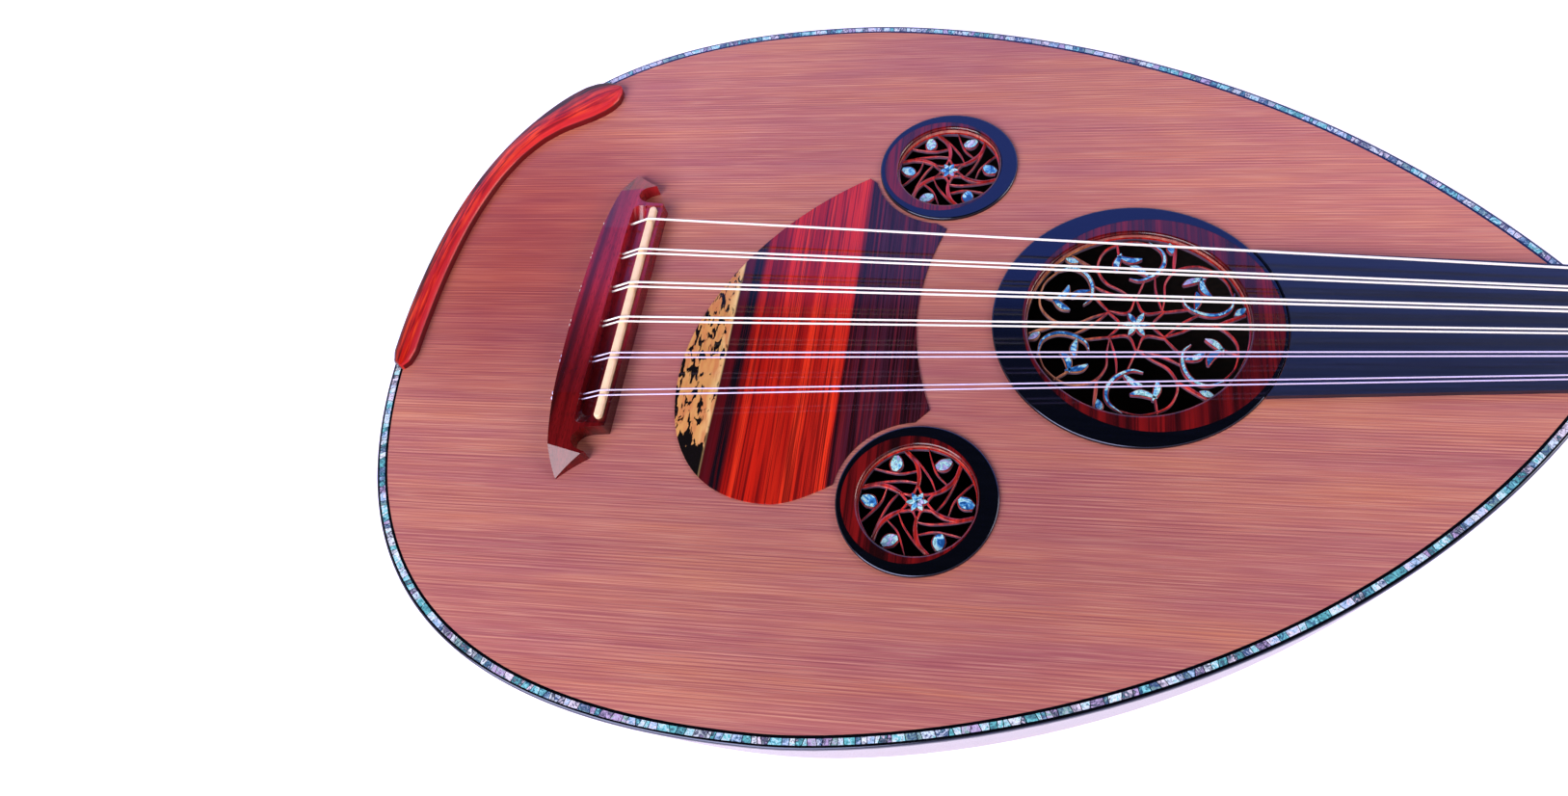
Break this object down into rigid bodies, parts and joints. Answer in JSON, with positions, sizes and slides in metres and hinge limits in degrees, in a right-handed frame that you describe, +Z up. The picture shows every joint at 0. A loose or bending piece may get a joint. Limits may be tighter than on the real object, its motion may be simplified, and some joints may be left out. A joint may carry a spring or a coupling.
{
  "type": "fretless short-necked lute (oud)",
  "caption": "Pear-shaped bowl-back lute with strings, lying on its back: red cedar top, fretwork sound holes, shell-lined edge, bent-back pegbox with turning pegs.",
  "frame": {"origin": "centre of the overall box in X and Y, at the level of the lowest point of the bowl", "axes": "+X along the strings from the tail to the pegbox, +Y to the bass side, +Z up, out of the soundboard"},
  "size_m": [0.8626, 0.377, 0.1955],
  "materials": {
    "cedar": "satin",
    "ebony": "gloss",
    "shell": "gloss",
    "rib_dark": "gloss",
    "spruce": "matte",
    "bone": "satin",
    "padauk": "gloss",
    "cocobolo": "gloss",
    "wound_string": "satin",
    "nylon_string": "gloss"
  },
  "bodies": {
    "oud_body": {"soundboard": "cedar", "edge_binding": "ebony", "edge_purfling": "shell", "rib_01": "rib_dark", "rib_02": "ebony", "rib_03": "rib_dark", "rib_04": "ebony", "rib_05": "rib_dark", "rib_06": "ebony", "rib_07": "rib_dark", "rib_08": "ebony", "rib_09": "rib_dark", "rib_10": "ebony", "rib_11": "rib_dark", "end_clasp": "ebony", "tail_block": "spruce", "neck_block": "spruce", "neck": "ebony", "fingerboard": "ebony", "nut": "bone", "pegbox_treble_cheek": "rib_dark", "pegbox_bass_cheek": "rib_dark", "pegbox_back": "rib_dark", "pegbox_tip": "ebony", "bridge": "cocobolo", "saddle": "bone", "pickguard": "cocobolo", "armrest": "padauk", "main_ring": "ebony", "main_ring_inlay": "cocobolo", "bass_ring": "ebony", "bass_ring_inlay": "cocobolo", "treble_ring": "ebony", "treble_ring_inlay": "cocobolo", "main_rosette": "cocobolo", "bass_rosette": "cocobolo", "treble_rosette": "cocobolo", "string_11": "nylon_string", "string_01": "wound_string", "string_10": "nylon_string", "string_02": "wound_string", "string_09": "nylon_string", "string_03": "wound_string", "string_08": "nylon_string", "string_04": "wound_string", "string_07": "wound_string", "string_05": "wound_string", "string_06": "wound_string"},
    "peg_01_body": {"peg_01": "ebony"},
    "peg_02_body": {"peg_02": "ebony"},
    "peg_03_body": {"peg_03": "ebony"},
    "peg_04_body": {"peg_04": "ebony"},
    "peg_05_body": {"peg_05": "ebony"},
    "peg_06_body": {"peg_06": "ebony"},
    "peg_07_body": {"peg_07": "ebony"},
    "peg_08_body": {"peg_08": "ebony"},
    "peg_09_body": {"peg_09": "ebony"},
    "peg_10_body": {"peg_10": "ebony"},
    "peg_11_body": {"peg_11": "ebony"}
  },
  "joints": [
    {"name": "peg_01_turn", "type": "hinge", "parent": "oud_body", "child": "peg_01_body", "pos_m": [0.30233, 0, 0.14633], "axis": [0, 1, 0], "continuous": true},
    {"name": "peg_02_turn", "type": "hinge", "parent": "oud_body", "child": "peg_02_body", "pos_m": [0.32438, 0, 0.12139], "axis": [0, 1, 0], "continuous": true},
    {"name": "peg_03_turn", "type": "hinge", "parent": "oud_body", "child": "peg_03_body", "pos_m": [0.34644, 0, 0.09645], "axis": [0, 1, 0], "continuous": true},
    {"name": "peg_04_turn", "type": "hinge", "parent": "oud_body", "child": "peg_04_body", "pos_m": [0.36849, 0, 0.07151], "axis": [0, 1, 0], "continuous": true},
    {"name": "peg_05_turn", "type": "hinge", "parent": "oud_body", "child": "peg_05_body", "pos_m": [0.39054, 0, 0.04657], "axis": [0, 1, 0], "continuous": true},
    {"name": "peg_06_turn", "type": "hinge", "parent": "oud_body", "child": "peg_06_body", "pos_m": [0.40157, 0, 0.03411], "axis": [0, -1, 0], "continuous": true},
    {"name": "peg_07_turn", "type": "hinge", "parent": "oud_body", "child": "peg_07_body", "pos_m": [0.37952, 0, 0.05904], "axis": [0, -1, 0], "continuous": true},
    {"name": "peg_08_turn", "type": "hinge", "parent": "oud_body", "child": "peg_08_body", "pos_m": [0.35746, 0, 0.08398], "axis": [0, -1, 0], "continuous": true},
    {"name": "peg_09_turn", "type": "hinge", "parent": "oud_body", "child": "peg_09_body", "pos_m": [0.33541, 0, 0.10892], "axis": [0, -1, 0], "continuous": true},
    {"name": "peg_10_turn", "type": "hinge", "parent": "oud_body", "child": "peg_10_body", "pos_m": [0.31336, 0, 0.13386], "axis": [0, -1, 0], "continuous": true},
    {"name": "peg_11_turn", "type": "hinge", "parent": "oud_body", "child": "peg_11_body", "pos_m": [0.2913, 0, 0.15879], "axis": [0, -1, 0], "continuous": true}
  ]
}
